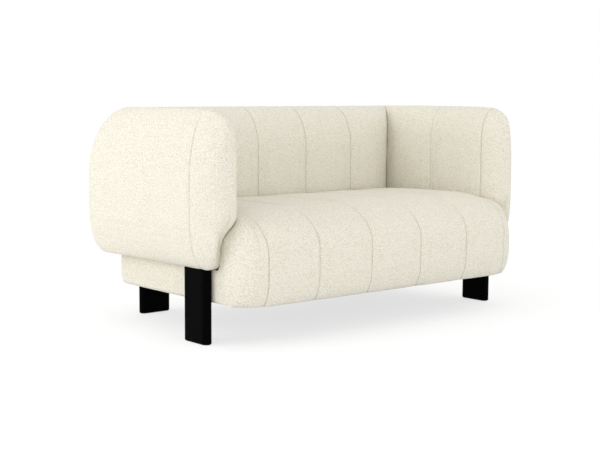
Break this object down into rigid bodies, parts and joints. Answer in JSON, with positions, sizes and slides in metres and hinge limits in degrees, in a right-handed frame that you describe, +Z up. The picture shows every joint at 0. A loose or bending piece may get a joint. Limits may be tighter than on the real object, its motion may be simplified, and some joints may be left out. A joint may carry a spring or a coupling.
{
  "type": "tuxedo sofa",
  "caption": "Tuxedo sofa with arms and back at one height wrapping a tight, channelled seat, in pale textured cloth on dark blade legs.",
  "frame": {"origin": "bottom centre of the bounding box: on the floor, midway between the arms and midway in depth", "axes": "+X across the sofa towards the right arm as seen from the front, +Y from the front to the back, +Z up"},
  "size_m": [1.5, 0.91, 0.77],
  "materials": {
    "upholstery": "looped woven cloth",
    "foam": "cut foam",
    "webbing": "woven strap and felt",
    "dust_cloth": "thin non-woven cloth",
    "timber": "planed softwood",
    "plywood": "plain plywood",
    "leg": "black satin lacquer",
    "glide": "moulded",
    "steel": "zinc plated"
  },
  "bodies": {
    "root": {"seat_front_rail": "timber", "seat_rear_rail": "timber", "seat_left_rail": "timber", "seat_right_rail": "timber", "seat_cross_rails": "timber", "seat_corner_blocks": "timber", "webbing_battens": "timber", "seat_straps_long": "webbing", "seat_straps_cross": "webbing", "seat_underlay": "webbing", "seat_foam": "foam", "seat_front_foam": "foam", "seat_cover": "upholstery", "base_border_left": "upholstery", "base_border_right": "upholstery", "base_border_rear": "upholstery", "dust_cover": "dust_cloth", "arm_bottom_rail_left": "timber", "arm_front_post_left": "timber", "arm_rear_post_left": "timber", "arm_top_rail_left": "timber", "arm_inner_panel_left": "plywood", "arm_outer_panel_left": "plywood", "arm_foam_left": "foam", "arm_cover_left": "upholstery", "arm_bottom_rail_right": "timber", "arm_front_post_right": "timber", "arm_rear_post_right": "timber", "arm_top_rail_right": "timber", "arm_inner_panel_right": "plywood", "arm_outer_panel_right": "plywood", "arm_foam_right": "foam", "arm_cover_right": "upholstery", "back_bottom_rail": "timber", "back_posts": "timber", "back_top_rail": "timber", "back_straps": "webbing", "back_outer_panel": "plywood", "back_foam": "foam", "back_cover": "upholstery", "front_leg_left": "leg", "front_leg_right": "leg", "rear_leg_left": "leg", "rear_leg_right": "leg", "front_glide_left": "glide", "front_glide_right": "glide", "rear_glide_left": "glide", "rear_glide_right": "glide", "leg_bolts": "steel", "leg_inserts": "steel", "frame_bolts": "steel"}
  },
  "joints": []
}
